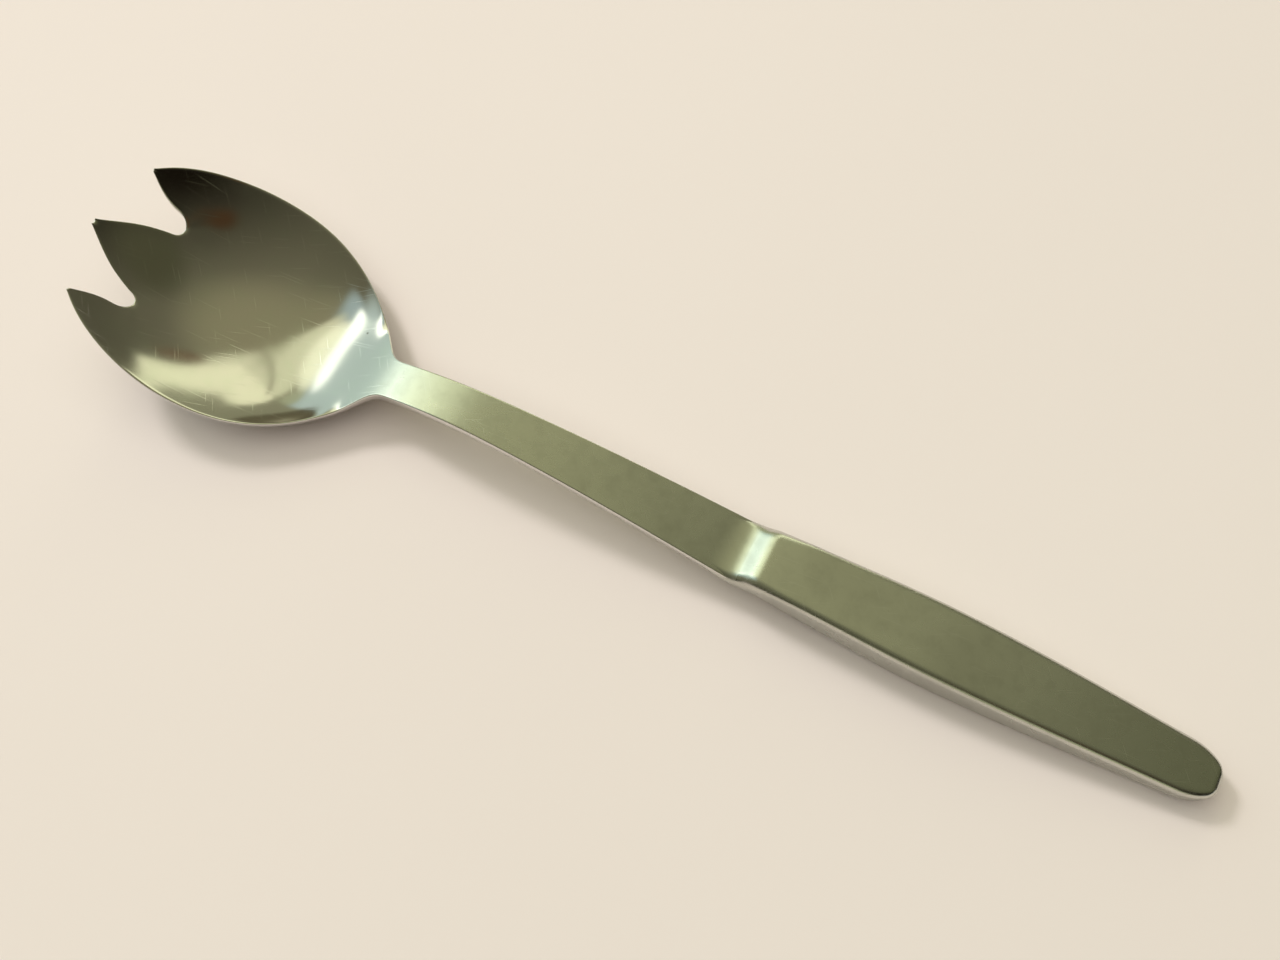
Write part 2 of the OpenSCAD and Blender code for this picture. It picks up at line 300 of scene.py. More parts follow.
    def finish(self, levels: int = 0, edge_angle: Optional[float] = None) -> bpy.types.Object:
        """Closes the piece, turns its faces outwards and smooths it.

        Args:
            levels: Levels of subdivision that are applied.
            edge_angle: Edges sharper than this stay sharp, in degrees; all are smooth without it.

        Returns:
            The finished piece.
        """
        self.weld()
        bpy.ops.mesh.normals_make_consistent(inside=False)
        bpy.ops.object.mode_set(mode="OBJECT")
        for name in self.GRID:
            self.piece.data.attributes.remove(self.piece.data.attributes[name])
        if levels:
            subdivision = self.piece.modifiers.new("rounding", "SUBSURF")
            subdivision.levels = subdivision.render_levels = levels
            bpy.ops.object.modifier_apply(modifier=subdivision.name)
        if edge_angle is None:
            bpy.ops.object.shade_smooth()
        else:
            bpy.ops.object.shade_smooth_by_angle(angle=math.radians(edge_angle))
        return self.piece


# Shader nodes


class Signal:
    """One output of a shader node, which takes part in Python arithmetic."""

    def __init__(self, graph: "Graph", socket: bpy.types.NodeSocket) -> None:
        """Keeps the socket and the graph that it belongs to."""
        self.graph = graph
        self.socket = socket

    def __add__(self, other: "Value") -> "Signal":
        """Adds a value."""
        return self.graph.math("ADD", self, other)

    def __radd__(self, other: "Value") -> "Signal":
        """Adds this to a value."""
        return self.graph.math("ADD", other, self)

    def __sub__(self, other: "Value") -> "Signal":
        """Takes a value away."""
        return self.graph.math("SUBTRACT", self, other)

    def __rsub__(self, other: "Value") -> "Signal":
        """Takes this away from a value."""
        return self.graph.math("SUBTRACT", other, self)

    def __mul__(self, other: "Value") -> "Signal":
        """Multiplies by a value."""
        return self.graph.math("MULTIPLY", self, other)

    def __rmul__(self, other: "Value") -> "Signal":
        """Multiplies a value by this."""
        return self.graph.math("MULTIPLY", other, self)

    def above(self, start: float, end: float) -> "Signal":
        """Rises softly from 0 at start to 1 at end, or falls where start is the larger."""
        return self.graph.node(
            "ShaderNodeMapRange",
            {"interpolation_type": "SMOOTHSTEP", "clamp": True},
            {"Value": self, "From Min": min(start, end), "From Max": max(start, end),
             "To Min": 0.0 if start < end else 1.0, "To Max": 1.0 if start < end else 0.0},
        )


Value = Union[Signal, float]


class Graph:
    """The node tree of a material or of the world."""

    def __init__(self, tree: bpy.types.NodeTree) -> None:
        """Empties a node tree to build in it."""
        self.tree = tree
        self.tree.nodes.clear()

    def node(self, kind: str, settings: dict[str, Any], inputs: dict[Union[str, int], Any],
             output: Union[str, int] = 0) -> Signal:
        """Adds a node.

        Args:
            kind: Blender's name of the node's type.
            settings: Settings of the node, which are set first.
            inputs: Values or links of its sockets.
            output: Name or number of the output that is wanted.

        Returns:
            That output.
        """
        made = self.tree.nodes.new(kind)
        for name, value in settings.items():
            setattr(made, name, value)
        for name, value in inputs.items():
            if isinstance(value, Signal):
                self.tree.links.new(value.socket, made.inputs[name])
            else:
                made.inputs[name].default_value = value
        return Signal(self, made.outputs[output]) if made.outputs else Signal(self, made.inputs[0])

    def math(self, operation: str, a: Value, b: Value) -> Signal:
        """Adds a Math node for two values."""
        return self.node("ShaderNodeMath", {"operation": operation}, {0: a, 1: b})

    def blend(self, a: Union[Signal, Colour], b: Union[Signal, Colour], share: Value) -> Signal:
        """Mixes two colours, with share from 0 for a to 1 for b."""
        return self.node("ShaderNodeMix", {"data_type": "RGBA"}, {0: share, 6: a, 7: b}, 2)
    def relief(self, height: Signal, distance: float) -> Signal:
        """Turns a height, in units of distance, into the slant of the surface."""
        return self.node("ShaderNodeBump", {}, {"Strength": 1.0, "Distance": distance, "Height": height})
    def parts(self, place: Signal) -> tuple[Signal, ...]:
        """Gives the three parts of a place."""
        split = self.node("ShaderNodeSeparateXYZ", {}, {0: place}).socket.node
        return tuple(Signal(self, output) for output in split.outputs)

    def object_place(self) -> Signal:
        """Gives the place on the piece, in metres."""
        return self.node("ShaderNodeTexCoord", {}, {}, "Object")

    def stretched(self, place: Signal, size: tuple[float, float, float], turn: float = 0.0) -> Signal:
        """Turns and scales a place, so that one unit is as long as size says.

        Args:
            place: Place that is measured.
            size: Length of one unit along each axis, in metres.
            turn: Turn about the upright axis, in degrees.

        Returns:
            The scaled place.
        """
        return self.node("ShaderNodeMapping", {"vector_type": "TEXTURE"},
                         {"Vector": place, "Rotation": (0.0, 0.0, math.radians(turn)), "Scale": size})

    def noise(self, place: Signal, scale: float = 1.0, detail: float = 2.0,
              roughness: float = 0.5) -> Signal:
        """Adds a noise pattern, from 0 to 1."""
        return self.node("ShaderNodeTexNoise", {},
                         {"Vector": place, "Scale": scale, "Detail": detail, "Roughness": roughness})

    def from_dots(self, place: Signal, scale: float = 1.0, flat: bool = False) -> Signal:
        """Adds the distance to the nearest of many scattered dots.

        Args:
            place: Place that is measured.
            scale: Number of dots along one unit.
            flat: Whether the dots lie in one plane.

        Returns:
            The distance, in units of one dot's room.
        """
        return self.node("ShaderNodeTexVoronoi", {"voronoi_dimensions": "2D" if flat else "3D"},
                         {"Vector": place, "Scale": scale, "Randomness": 1.0}, "Distance")


def wear_finish(piece: bpy.types.Object, material: bpy.types.Material) -> None:
    """Gives a piece one material in place of those it had."""
    piece.data.materials.clear()
    piece.data.materials.append(material)


# Finishes


@dataclass(frozen=True)
class Finish:
    """The look of a piece, as one shader."""

    name: str

    def sockets(self, graph: Graph) -> dict[str, Any]:
        """Gives what the shader's sockets take."""
        raise NotImplementedError

    def material(self) -> bpy.types.Material:
        """Builds the node material.

        Returns:
            The material.
        """
        material = bpy.data.materials.new(self.name)
        material.use_nodes = True
        graph = Graph(material.node_tree)
        shader = graph.node("ShaderNodeBsdfPrincipled", {}, self.sockets(graph))
        graph.node("ShaderNodeOutputMaterial", {}, {"Surface": shader})
        return material


@dataclass(frozen=True)
class Scratches:
    """Fine straight scratches that lie at one slant, each in a long narrow room of its own."""

    length: float
    room: float
    slant: float
    width: float
    core: float = 0.3

    def mask(self, graph: Graph, place: Signal) -> Signal:
        """Draws the scratches.

        Args:
            graph: Node tree of the finish.
            place: Place on the piece.

        Returns:
            1 in a scratch and 0 beside it.
        """
        rooms = graph.stretched(place, (self.length, self.room, 1.0), self.slant)
        return graph.from_dots(rooms, flat=True).above(self.width, self.width * self.core)


@dataclass(frozen=True)
class SteelFinish(Finish):
    """Satin stainless steel, with a half-polished bowl where it has one, whose darker, pinkish tone is a
    painted reflection; lengths are in metres.
    """

    tone: Colour = (0.60, 0.60, 0.55, 1.0)
    # Painted reflection: the polished bowl gets a darker, pinkish tone than the satin steel, standing in for
    # what it mirrors.
    painted_bowl_reflection_tone: Colour = (0.465, 0.425, 0.412, 1.0)
    dull_tone: Colour = (0.45, 0.445, 0.40, 1.0)
    # Lighter tone for worn edges, partly rubbed metal and partly a painted highlight, and for scratches, a
    # painted sheen.
    wear_and_highlight_tone: Colour = (0.72, 0.70, 0.68, 1.0)
    speck_tone: Colour = (0.12, 0.10, 0.07, 1.0)
    satin: float = 0.28
    polish: float = 0.13
    polish_end: Optional[float] = None
    polish_fade: float = 0.004
    cloud_scale: float = 55.0
    cloud_span: Span = (0.35, 0.8)
    cloud_share: float = 0.5
    cloud_dulling: float = 0.10
    mottle_scale: float = 420.0
    mottle_span: Span = (0.4, 0.75)
    mottle_share: float = 0.3
    mottle_dulling: float = 0.08
    slanting: Scratches = Scratches(0.034, 0.0009, 24.0, 0.075)
    crossing: Scratches = Scratches(0.028, 0.0012, -51.0, 0.07)
    lengthwise: Scratches = Scratches(0.045, 0.0010, 4.0, 0.08)
    scratch_height: float = 3e-6
    # Painted sheen: scratches get a lighter tone.
    scratch_sheen_share: float = 0.25
    scratch_dulling: float = 0.06
    # Worn edges get a lighter tone: partly rubbed metal, partly a painted highlight along rims and corners.
    worn_highlight_span: Span = (0.2, 0.9)
    worn_highlight_share: float = 0.8
    worn_polish: float = 0.08
    speck_cell: float = 0.011
    speck_size: float = 0.028
    speck_core: float = 0.4
    speck_share: float = 0.75
    grain_cell: tuple[float, float, float] = (1.5e-3, 1.6e-4, 1.6e-4)
    grain_height: float = 1.6e-6
    grain_polished_off: float = 0.7
    wave_scale: float = 130.0
    wave_height: float = 9e-6

    def sockets(self, graph: Graph) -> dict[str, Any]:
        """Draws the tone, the roughness and the fine relief of the steel.

        Args:
            graph: Node tree of the finish.

        Returns:
            What the shader's sockets take.
        """
        place = graph.object_place()
        along, _, _ = graph.parts(place)
        clouds = graph.noise(place, self.cloud_scale, detail=3.0)
        mottle = graph.noise(place, self.mottle_scale, detail=3.0, roughness=0.6)
        grain = graph.noise(graph.stretched(place, self.grain_cell))
        waves = graph.noise(place, self.wave_scale, detail=1.0)
        slanting, crossing, lengthwise = (
            scratches.mask(graph, place) for scratches in (self.slanting, self.crossing, self.lengthwise))
        scratched = slanting + crossing + lengthwise
        specks = graph.from_dots(place, 1.0 / self.speck_cell)
        specks = specks.above(self.speck_size, self.speck_size * self.speck_core)
        # Worn edges: rubbed metal with lower roughness, and a lighter tone that is partly a painted
        # highlight.
        worn = graph.node("ShaderNodeAttribute", {"attribute_name": WORN_HIGHLIGHT_EDGE}, {}, "Fac")

        tone: Union[Signal, Colour] = self.tone
        roughness = ((clouds - NOISE_MEAN) * self.cloud_dulling + (mottle - NOISE_MEAN) * self.mottle_dulling
                     + scratched * self.scratch_dulling - worn * self.worn_polish + self.satin)
        grain_share: Value = 1.0
        if self.polish_end is not None:
            polished = along.above(self.polish_end + self.polish_fade, self.polish_end - self.polish_fade)
            # Painted reflection: the polished bowl takes the darker, pinkish tone.
            tone = graph.blend(self.tone, self.painted_bowl_reflection_tone, polished)
            roughness = roughness - polished * (self.satin - self.polish)
            grain_share = 1.0 - polished * self.grain_polished_off

        dull = clouds.above(*self.cloud_span) * self.cloud_share
        dull = dull + mottle.above(*self.mottle_span) * self.mottle_share
        # Worn edges are lightened: partly rubbed metal, partly a painted highlight.
        highlight_mix = worn.above(*self.worn_highlight_span) * self.worn_highlight_share
        # Painted sheen: the scratches, which are real marks, are lightened.
        highlight_mix = highlight_mix + scratched.above(0.0, 1.0) * self.scratch_sheen_share
        tone = graph.blend(tone, self.dull_tone, dull)
        tone = graph.blend(tone, self.wear_and_highlight_tone, highlight_mix)
        tone = graph.blend(tone, self.speck_tone, specks * self.speck_share)

        height = (grain * grain_share * (self.grain_height / self.wave_height) + waves
                  - scratched * (self.scratch_height / self.wave_height))
        return {"Base Color": tone, "Metallic": 1.0, "Roughness": roughness,
                "Normal": graph.relief(height, self.wave_height)}


@dataclass(frozen=True)
class CementFinish(Finish):
    """Rough set filler, hidden inside the handle."""

    name: str = "set_cement"
    tone: Colour = (0.45, 0.42, 0.38, 1.0)
    dark_tone: Colour = (0.30, 0.27, 0.24, 1.0)
    grit_scale: float = 1500.0
    grit_span: Span = (0.4, 0.7)
    grit_share: float = 0.6
    grit_height: float = 6e-5
    patch_scale: float = 160.0
    patch_span: Span = (0.4, 0.8)
    patch_share: float = 0.4
    roughness: float = 0.8
    grit_dulling: float = 0.15

    def sockets(self, graph: Graph) -> dict[str, Any]:
        """Draws the gritty tone and relief of the filler.

        Args:
            graph: Node tree of the finish.

        Returns:
            What the shader's sockets take.
        """
        place = graph.object_place()
        grit = graph.noise(place, self.grit_scale, detail=4.0, roughness=0.65)
        patches = graph.noise(place, self.patch_scale, detail=3.0)
        dark = grit.above(*self.grit_span) * self.grit_share
        dark = dark + patches.above(*self.patch_span) * self.patch_share
        return {"Base Color": graph.blend(self.tone, self.dark_tone, dark),
                "Roughness": self.roughness + grit * self.grit_dulling,
                "Normal": graph.relief(grit, self.grit_height)}


@dataclass(frozen=True)
class FloorFinish(Finish):
    """Plain pale floor."""

    name: str = "pale_floor"
    tone: Colour = (0.91, 0.80, 0.79, 1.0)
    shade: Colour = (0.88, 0.77, 0.76, 1.0)
    drift_scale: float = 6.0
    roughness: float = 0.85
    shine: float = 0.2

    def sockets(self, graph: Graph) -> dict[str, Any]:
        """Draws the slow drift of the floor's tone.

        Args:
            graph: Node tree of the finish.

        Returns:
            What the shader's sockets take.
        """
        drift = graph.noise(graph.object_place(), self.drift_scale)
        return {"Base Color": graph.blend(self.tone, self.shade, drift), "Roughness": self.roughness,
                "Specular IOR Level": self.shine}


# The spork


@dataclass
class Handle:
    """The hollow handle: two pressed shells, the seam between them and the fillet at its mouth.

    Lengths are in millimetres, and places along the spork are measured from the middle tine's tip.
    """

    mouth_x: float = 121.0
    step_len: float = 3.75
    step_h: float = 8.62
    brow_len: float = 6.25
    brow_angle: float = 2.0
    widest_x: float = 153.5
    mouth_half: float = 5.45
    widest_half: float = 6.1
    end_half: float = 4.3
    mouth_top: float = 7.0
    mouth_mid: float = 4.832
    mouth_under: float = 3.714
    crown_h: float = 8.9
    end_h: float = 4.7
    end_angle: float = 6.0
    spread: float = -0.03
    step_angle: float = 26.0
    prow_angle: float = 10.0
    stem_angle: float = 11.0
    rest_x: float = 154.0
    tail_x: float = 176.0
    tail_lift: float = 0.6
    edge_r: float = 1.3
    step_r: float = 2.1
    step_r_run: float = 10.0
    end_r: float = 6.2
    end_flat_share: float = 0.25
    corner_share: float = 0.8
    wall: float = 0.8
    end_room: float = 0.6
    lip: float = 0.1
    lip_run: float = 4.0
    seam_t: float = 0.2
    fillet_len: float = 6.5
    fillet_sink: float = 0.006
    fillet_wall: float = 0.1
    slope_probe: float = 0.1
    hair: float = 1e-6
    side_steps: int = 3
    corner_steps: int = 10
    top_steps: int = 12
    step_rows: int = 16
    length_rows: int = 44
    end_rows: int = 24
    seam_end_steps: int = 8
    fillet_rows: int = 30
    fillet_corner_steps: int = 8
    fillet_flat_steps: int = 10
    corner_wear_and_highlight: float = 0.5
    sharp_angle: float = 38.0
    fillet_sharp_angle: float = 50.0
    finish: SteelFinish = SteelFinish("satin_handle_steel")
    seam_finish: SteelFinish = SteelFinish("ground_braze", satin=0.32)

    def round_in(self, x: float, r: float) -> float:
        """Distance that a rounding of radius r has drawn in at x, near the handle's end."""
        u = max(x - (OVERALL_LEN - r), 0.0) / r
        return r * (1 - math.sqrt(max(1 - u * u, 0.0)))

    def crown_z(self, x: float) -> float:
        """Finds the height of the handle's top.

        Args:
            x: Place along the spork.

        Returns:
            The height.
        """
        step_x = self.mouth_x + self.step_len
        brow_x = step_x + self.brow_len
        climb, brow = slope_of(self.step_angle), slope_of(self.brow_angle)
        if x < step_x:
            return ease(x, self.mouth_x, self.mouth_top, climb, step_x, self.step_h, brow)
        if x < brow_x:
            return ease(x, step_x, self.step_h, brow, brow_x, self.crown_h, 0.0)
        back = ease(x, brow_x, self.crown_h, 0.0, OVERALL_LEN, self.end_h, -slope_of(self.end_angle))
        return back - self.round_in(x, self.edge_r)

    def under_z(self, x: float) -> float:
        """Finds the height of the handle's underside.

        Args:
            x: Place along the spork.

        Returns:
            The height.
        """
        if x < self.rest_x:
            prow = -slope_of(self.prow_angle)
            return ease(x, self.mouth_x, self.mouth_under, prow, self.rest_x, 0.0, 0.0)
        share = max(x - self.tail_x, 0.0) / (OVERALL_LEN - self.tail_x)
        return self.tail_lift * share ** 2 + self.round_in(x, self.edge_r)

    def half(self, x: float) -> float:
        """Finds half of the handle's width.

        Args:
            x: Place along the spork.

        Returns:
            Half of the width.
        """
        if x < self.widest_x:
            width = ease(x, self.mouth_x, self.mouth_half, self.spread, self.widest_x, self.widest_half, 0.0)
        else:
            slope = (self.end_half - self.widest_half) / (OVERALL_LEN - self.widest_x)
            width = ease(x, self.widest_x, self.widest_half, 0.0, OVERALL_LEN, self.end_half, slope)
        return width * (1 - (1 - self.end_flat_share) * self.round_in(x, self.end_r) / self.end_r)

    def spine_z(self, x: float) -> float:
        """Finds the height of the seam between the shells.

        Args:
            x: Place along the spork.

        Returns:
            The height.
        """
        step_x = self.mouth_x + self.step_len
        if x < step_x:
            middle = (self.crown_z(step_x) + self.under_z(step_x)) / 2
            return ease(x, self.mouth_x, self.mouth_mid, -slope_of(self.stem_angle), step_x, middle, 0.0)
        return (self.crown_z(x) + self.under_z(x)) / 2

    def rows(self) -> list[float]:
        """Places the handle's sections, closer at the step and at the end.

        Returns:
            Places along the spork.
        """
        step_x, end_x = self.mouth_x + self.step_len, OVERALL_LEN - self.end_r
        step = [self.mouth_x + self.step_len * i / self.step_rows for i in range(self.step_rows)]
        length = [mix(step_x, end_x, i / self.length_rows) for i in range(self.length_rows)]
        turns = [math.pi / 2 * i / self.end_rows for i in range(self.end_rows + 1)]
        end = [OVERALL_LEN - self.end_r * (1 - math.sin(turn)) for turn in turns]
        return step + length + end

    def rise(self, x: float, half: Half) -> float:
        """Height of a shell's crown above its edge at the seam."""
        face = self.crown_z(x) - self.spine_z(x) if half is Half.UPPER else self.spine_z(x) - self.under_z(x)
        return max(face - self.seam_t / 2, 0.0)

    def corner_r(self, x: float) -> float:
        """Radius of the long edges: larger at the step than along the handle."""
        return mix(self.step_r, self.edge_r, soft_share(x, self.mouth_x, self.mouth_x + self.step_r_run))

    def fitted_r(self, width: float, rise: float, corner: float) -> float:
        """Corner radius that fits into a section of the given half width and height."""
        return min(corner, rise * self.corner_share, width * self.corner_share)

    def wall_at(self, x: float) -> float:
        """Thickness of the shells' wall, which thins to a lip at the mouth."""
        return mix(self.lip, self.wall, share_between(x, self.mouth_x, self.mouth_x + self.lip_run))

    def inner_x(self, x: float) -> float:
        """Place along the spork of the inner face that belongs to a place of the outer face."""
        return self.mouth_x + (x - self.mouth_x) * (1 - self.wall / (OVERALL_LEN - self.mouth_x))

    def inner_half(self, x: float) -> float:
        """Half of the hollow's width."""
        return max(self.half(x) - self.wall_at(x), self.end_room)

    def arch(self, width: float, rise: float, corner: float) -> list[Plan]:
        """Section of a shell from one edge at the seam over its crown to the other.

        Args:
            width: Half of the section's width.
            rise: Height of the crown above the edges.
            corner: Radius of the two corners.

        Returns:
            Points across and up.
        """
        r = self.fitted_r(width, rise, corner)
        side = [(width, (rise - r) * i / self.side_steps) for i in range(self.side_steps)]
        turns = [math.pi / 2 * i / self.corner_steps for i in range(self.corner_steps)]
        bend = [(width - r + r * math.cos(a), rise - r + r * math.sin(a)) for a in turns]
        top = [((width - r) * (1 - 2 * i / self.top_steps), rise) for i in range(self.top_steps + 1)]
        left = [(-y, z) for y, z in reversed(side + bend)]
        return side + bend + top + left

    def shell_place(self, half: Half, rows: list[float], row: int, column: int, inside: bool) -> Vector:
        """Place of a point of a shell's outer or inner face.

        Args:
            half: Which shell.
            rows: Places of its sections; one more row closes the end.
            row: Row of the point.
            column: Column of the point.
            inside: Whether the point lies on the inner face.

        Returns:
            The place.
        """
        x = rows[min(row, len(rows) - 1)]
        width, rise, corner = self.half(x), self.rise(x, half), self.corner_r(x)
        if inside:
            width = self.inner_half(x)
            rise, corner = (max(size - self.wall_at(x), self.lip) for size in (rise, corner))
        y, z = self.arch(width, rise, corner)[column]
        if row == len(rows):
            z = 0.0
        height = self.spine_z(x) + half.value * (self.seam_t / 2 + z)
        return to_frame(self.inner_x(x) if inside else x, y, height)

    def build_shell(self, half: Half) -> bpy.types.Object:
        """Presses one shell.

        Args:
            half: Which shell.

        Returns:
            The shell.
        """
        rows = self.rows()
        columns = 2 * (self.side_steps + self.corner_steps) + self.top_steps
        corner = self.side_steps + self.corner_steps / 2

        def wear(row: int, column: int) -> float:
            """Most wear, and most painted highlight, in the middle of each corner."""
            from_corner = min(abs(column - corner), abs(columns - column - corner))
            return max(1 - from_corner / (self.corner_steps / 2), 0.0) * self.corner_wear_and_highlight

        sheet = PressedSheet(f"{half.name.lower()}_shell_steel", len(rows), columns)
        sheet.place(lambda row, column, bank: self.shell_place(half, rows, row, column, inside=False))
        sheet.wear(wear)
        sheet.thicken(lambda row, column, above: self.shell_place(half, rows, row, column, inside=True))
        return sheet.finish(edge_angle=self.sharp_angle)

    def build_seam(self) -> bpy.types.Object:
        """Lays the ground seam between the two shells, along one side, round the end and back.

        Returns:
            The seam.
        """
        steps, end_half = self.seam_end_steps, self.half(OVERALL_LEN)
        side = [(x, self.half(x)) for x in self.rows()]
        across = [(OVERALL_LEN, end_half * (1 - i / steps)) for i in range(1, 2 * steps)]
        line = side + across + [(x, -y) for x, y in reversed(side)]

        def height(x: float, column: int) -> float:
            """Height of the seam's lower edge for column 0, and of its upper edge for column 1."""
            return self.spine_z(x) + (column - 0.5) * self.seam_t

        def outer(row: int, column: int, bank: int) -> Vector:
            """Place on the outside of the seam."""
            x, y = line[row]
            return to_frame(x, y, height(x, column))

        def inner(row: int, column: int, above: Vector) -> Vector:
            """Place on the inside of the seam."""
            x, y = line[row]
            return to_frame(self.inner_x(x), y * self.inner_half(x) / self.half(x), height(x, column))

        sheet = PressedSheet("shell_seam_braze", len(line) - 1, 1)
        sheet.place(outer)
        sheet.thicken(inner)
        return sheet.finish(edge_angle=self.sharp_angle)

    def build_fillet(self, head: "Head") -> bpy.types.Object:
        """Runs the fillet from the stem up to the handle's mouth.

        Args:
            head: The head whose stem the fillet goes round.

        Returns:
            The fillet.
        """
        start_x, probe, sink = self.mouth_x - self.fillet_len, self.slope_probe, self.fillet_sink
        corner_steps, flat_steps = self.fillet_corner_steps, self.fillet_flat_steps
        places = [start_x + self.fillet_len * row / self.fillet_rows for row in range(self.fillet_rows + 1)]
        columns = 4 * corner_steps + 2 * flat_steps + 2 * self.side_steps
        stem_under = head.centre_z(start_x) - head.thickness(start_x, 0.0) + sink
        stem_slope = (head.centre_z(start_x + probe) - head.centre_z(start_x - probe)) / (2 * probe)
        lift = self.mouth_top - head.mouth_h + sink
        power = (slope_of(self.step_angle) + slope_of(self.stem_angle)) * self.fillet_len / lift
        mouth_top_r, mouth_under_r = (
            self.fitted_r(self.mouth_half, self.rise(self.mouth_x, half), self.corner_r(self.mouth_x))
            for half in Half)

        def section(x: float, inset: float) -> list[Plan]:
            """Draws the closed section of the fillet.

            Args:
                x: Place along the spork.
                inset: Distance that the section is drawn in.

            Returns:
                Points across and up, from the right-hand side over the top and all round.
            """
            share = share_between(x, start_x, self.mouth_x)
            top = head.centre_z(min(x, self.mouth_x - self.hair)) - sink + lift * share ** power - inset
            under = ease(x, start_x, stem_under, stem_slope,
                         self.mouth_x, self.mouth_under, -slope_of(self.prow_angle)) + inset
            width = ease(x, start_x, head.half(start_x) - sink, head.stem_spread,
                         self.mouth_x, self.mouth_half, self.spread) - inset
            r_top = mix(head.stem_round, mouth_top_r, share)
            r_under = mix(head.stem_round, mouth_under_r, share)
            corners = (
                (r_top, width - r_top, top - r_top, (r_top - width, top), flat_steps),
                (r_top, r_top - width, top - r_top, (-width, under + r_under), self.side_steps),
                (r_under, r_under - width, under + r_under, (width - r_under, under), flat_steps),
                (r_under, width - r_under, under + r_under, (width, top - r_top), self.side_steps),
            )
            points: list[Plan] = []
            for turn, (r, y, z, goal, steps) in enumerate(corners):
                arc = [math.pi / 2 * (turn + i / corner_steps) for i in range(corner_steps + 1)]
                points += [(y + r * math.cos(a), z + r * math.sin(a)) for a in arc]
                last = points[-1]
                points += [mix_plan(last, goal, i / steps) for i in range(1, steps)]
            return points + points[:1]

        def outer(row: int, column: int, bank: int) -> Vector:
            """Place on the outside of the fillet."""
            return to_frame(places[row], *section(places[row], 0.0)[column])

        def inner(row: int, column: int, above: Vector) -> Vector:
            """Place on the inside of the fillet, against the stem."""
            y, z = section(start_x, self.fillet_wall)[column]
            return to_frame(places[row], y, z + head.centre_z(places[row]) - head.centre_z(start_x))

        sheet = PressedSheet("mouth_fillet_braze", self.fillet_rows, columns)
        sheet.place(outer)
        sheet.weld()
        sheet.thicken(inner)
        return sheet.finish(edge_angle=self.fillet_sharp_angle)

    def build(self, head: "Head") -> dict[str, bpy.types.Object]:
        """Builds and dresses the handle's pieces.

        Args:
            head: The head that the handle holds.

        Returns:
            Each piece under the name of the solid that it stands for.
        """
        steel, braze = self.finish.material(), self.seam_finish.material()
        made = {
            "upper_shell": self.build_shell(Half.UPPER),
            "lower_shell": self.build_shell(Half.LOWER),
            "shell_seam": self.build_seam(),
            "mouth_fillet": self.build_fillet(head),
        }
        for node, piece in made.items():
            shell = node.endswith("_shell")
            wear_finish(piece, steel if shell else braze)
        return made


